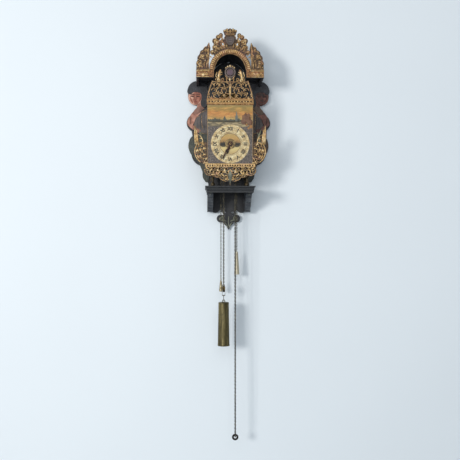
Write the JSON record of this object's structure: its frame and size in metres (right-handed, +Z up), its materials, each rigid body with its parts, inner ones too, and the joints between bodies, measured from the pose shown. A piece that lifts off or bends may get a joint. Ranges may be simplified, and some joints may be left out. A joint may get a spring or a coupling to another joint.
{
  "type": "chair clock",
  "caption": "Wall clock on a painted bracket with an arched hood: posted movement, fretted dial, bell, pendulum, chains, driving weight and alarm weights.",
  "frame": {"origin": "centre of the hanging hole, on the plane of the wall at the back of the board", "axes": "+Z up, +X to the right of someone facing the clock, +Y into the wall"},
  "size_m": [0.299, 0.184, 1.4043],
  "materials": {
    "painted_wood": "painted, aged",
    "blackened_wood": "painted blue-black",
    "gilt_lead": "gilt and painted, worn",
    "brass": "aged brass",
    "iron": "wrought, dark",
    "steel": "filed steel",
    "painted_iron": "oil paint on sheet iron"
  },
  "bodies": {
    "bracket": {"backboard": "painted_wood", "hanging_plate": "iron", "seat_board": "blackened_wood", "seat_moulding": "blackened_wood", "seat_cheeks": "blackened_wood", "hood_roof": "painted_wood", "hood_front": "painted_wood", "hood_sides": "painted_wood", "hood_moulding": "gilt_lead", "hood_crest": "gilt_lead", "hood_wings": "gilt_lead", "base_plate": "iron", "top_plate": "iron", "corner_posts": "brass", "feet_and_finials": "brass", "front_bar": "iron", "inner_bars": "iron", "dial_plate": "painted_iron", "crest_fret": "gilt_lead", "side_frets": "gilt_lead", "bottom_fret": "gilt_lead", "crown_wheel_cocks": "iron", "back_cock": "brass", "bell": "brass", "alarm_cock": "iron", "chain_wraps": "brass"},
    "left_door": {"left_door": "painted_iron"},
    "right_door": {"right_door": "painted_iron"},
    "minute": {"minute_hand": "iron", "cannon_wheel": "brass"},
    "hour": {"hour_hand": "iron", "hour_wheel": "brass"},
    "drive": {"drive_wheel": "brass"},
    "alarm_disc": {"alarm_disc": "brass"},
    "contrate": {"contrate_wheel": "brass"},
    "second": {"second_wheel": "brass"},
    "going_great": {"going_great_wheel": "brass"},
    "crown": {"crown_wheel": "brass"},
    "pendulum": {"pendulum_rod": "steel", "pendulum_bob": "brass"},
    "verge": {"verge": "steel"},
    "third": {"third_wheel": "brass"},
    "pin": {"pin_wheel": "brass"},
    "strike_great": {"strike_great_wheel": "brass"},
    "fly": {"fly": "steel"},
    "hammer": {"hammer": "steel"},
    "weight": {"main_weight": "brass", "pulley_fork": "steel", "weight_chain": "brass"},
    "pulley": {"pulley": "brass"},
    "ring": {"chain_ring": "iron", "ring_chain": "brass"},
    "going_drum": {"going_chain_wheel": "brass"},
    "strike_drum": {"strike_chain_wheel": "brass"},
    "alarm_weight": {"alarm_weight": "brass", "alarm_weight_chain": "brass"},
    "counterweight": {"counterweight": "brass", "counterweight_chain": "brass"},
    "alarm_drum": {"alarm_chain_wheel": "brass"},
    "alarm_hammer": {"alarm_hammer": "steel"}
  },
  "joints": [
    {"name": "right_door_hinge", "type": "hinge", "parent": "bracket", "child": "right_door", "pos_m": [0.068, -0.054, -0.301], "axis": [0, 0, 1], "range_deg": [0, 100]},
    {"name": "left_door_hinge", "type": "hinge", "parent": "bracket", "child": "left_door", "pos_m": [-0.068, -0.054, -0.301], "axis": [0, 0, -1], "range_deg": [0, 100]},
    {"name": "minute_turn", "type": "hinge", "parent": "bracket", "child": "minute", "pos_m": [0, -0.1495, -0.316], "axis": [0, 1, 0], "continuous": true},
    {"name": "hour_turn", "type": "hinge", "parent": "bracket", "child": "hour", "pos_m": [0, -0.158, -0.316], "axis": [0, 1, 0], "continuous": true},
    {"name": "drive_turn", "type": "hinge", "parent": "bracket", "child": "drive", "pos_m": [0, -0.1495, -0.352], "axis": [0, 1, 0], "continuous": true},
    {"name": "alarm_disc_turn", "type": "hinge", "parent": "bracket", "child": "alarm_disc", "pos_m": [0, -0.163, -0.316], "axis": [0, 1, 0], "continuous": true},
    {"name": "contrate_turn", "type": "hinge", "parent": "bracket", "child": "contrate", "pos_m": [0, -0.1275, -0.2894], "axis": [0, 1, 0], "continuous": true},
    {"name": "second_turn", "type": "hinge", "parent": "bracket", "child": "second", "pos_m": [0, -0.1275, -0.3146], "axis": [0, 1, 0], "continuous": true},
    {"name": "going_great_turn", "type": "hinge", "parent": "bracket", "child": "going_great", "pos_m": [0, -0.1275, -0.352], "axis": [0, 1, 0], "continuous": true},
    {"name": "crown_turn", "type": "hinge", "parent": "bracket", "child": "crown", "pos_m": [0, -0.1265, -0.24], "axis": [0, 0, 1], "continuous": true},
    {"name": "pendulum_swing", "type": "hinge", "parent": "bracket", "child": "pendulum", "pos_m": [0, -0.032, -0.2005], "axis": [0, 1, 0], "range_deg": [-5, 5]},
    {"name": "verge_swing", "type": "hinge", "parent": "bracket", "child": "verge", "pos_m": [0, -0.094, -0.207], "axis": [0, 1, 0], "range_deg": [-7, 7]},
    {"name": "third_turn", "type": "hinge", "parent": "bracket", "child": "third", "pos_m": [0, -0.0825, -0.29025], "axis": [0, 1, 0], "continuous": true},
    {"name": "pin_turn", "type": "hinge", "parent": "bracket", "child": "pin", "pos_m": [0, -0.0825, -0.31545], "axis": [0, 1, 0], "continuous": true},
    {"name": "strike_great_turn", "type": "hinge", "parent": "bracket", "child": "strike_great", "pos_m": [0, -0.0825, -0.352], "axis": [0, 1, 0], "continuous": true},
    {"name": "fly_turn", "type": "hinge", "parent": "bracket", "child": "fly", "pos_m": [0, -0.0825, -0.27105], "axis": [0, 1, 0], "continuous": true},
    {"name": "hammer_swing", "type": "hinge", "parent": "bracket", "child": "hammer", "pos_m": [0.034, -0.0825, -0.306], "axis": [0, 1, 0], "range_deg": [-0.2, 6], "stiffness_Nm_per_rad": 0.6},
    {"name": "weight_slide", "type": "slide", "parent": "bracket", "child": "weight", "axis": [0, 0, 1], "range_m": [-0.74, 0.28], "deforming": ["weight_chain"]},
    {"name": "pulley_turn", "type": "hinge", "parent": "weight", "child": "pulley", "pos_m": [-0.01999, -0.10015, -0.806], "axis": [1, 0, 0], "continuous": true},
    {"name": "ring_slide", "type": "slide", "parent": "bracket", "child": "ring", "axis": [0, 0, 1], "range_m": [-0.28, 0.74], "deforming": ["ring_chain"]},
    {"name": "going_drum_turn", "type": "hinge", "parent": "bracket", "child": "going_drum", "pos_m": [0, -0.1223, -0.352], "axis": [0, 1, 0], "continuous": true},
    {"name": "strike_drum_turn", "type": "hinge", "parent": "bracket", "child": "strike_drum", "pos_m": [0, -0.078, -0.352], "axis": [0, 1, 0], "continuous": true},
    {"name": "alarm_weight_slide", "type": "slide", "parent": "bracket", "child": "alarm_weight", "axis": [0, 0, 1], "range_m": [-0.27, 0.17], "deforming": ["alarm_weight_chain"]},
    {"name": "counterweight_slide", "type": "slide", "parent": "bracket", "child": "counterweight", "axis": [0, 0, 1], "range_m": [-0.17, 0.27], "deforming": ["counterweight_chain"]},
    {"name": "alarm_drum_turn", "type": "hinge", "parent": "bracket", "child": "alarm_drum", "pos_m": [0, -0.0475, -0.352], "axis": [0, 1, 0], "continuous": true},
    {"name": "alarm_hammer_swing", "type": "hinge", "parent": "bracket", "child": "alarm_hammer", "pos_m": [-0.044, -0.05, -0.318], "axis": [0, 1, 0], "range_deg": [-2.5, 0.6]}
  ],
  "couplings": [
    {"joint": "hour_turn", "follows": "minute_turn", "ratio": 0.083333},
    {"joint": "drive_turn", "follows": "minute_turn", "ratio": -1},
    {"joint": "second_turn", "follows": "contrate_turn", "ratio": -0.16667},
    {"joint": "going_great_turn", "follows": "contrate_turn", "ratio": 0.022222},
    {"joint": "crown_turn", "follows": "contrate_turn", "ratio": -6},
    {"joint": "verge_swing", "follows": "pendulum_swing", "ratio": 1.1757},
    {"joint": "pin_turn", "follows": "third_turn", "ratio": -0.16667},
    {"joint": "strike_great_turn", "follows": "third_turn", "ratio": 0.017094},
    {"joint": "fly_turn", "follows": "third_turn", "ratio": -5},
    {"joint": "ring_slide", "follows": "weight_slide", "ratio": -1},
    {"joint": "going_drum_turn", "follows": "weight_slide", "rad_per_m": 50.025},
    {"joint": "strike_drum_turn", "follows": "weight_slide", "rad_per_m": 50.025},
    {"joint": "counterweight_slide", "follows": "alarm_weight_slide", "ratio": -1},
    {"joint": "alarm_drum_turn", "follows": "alarm_weight_slide", "rad_per_m": -35.714}
  ]
}
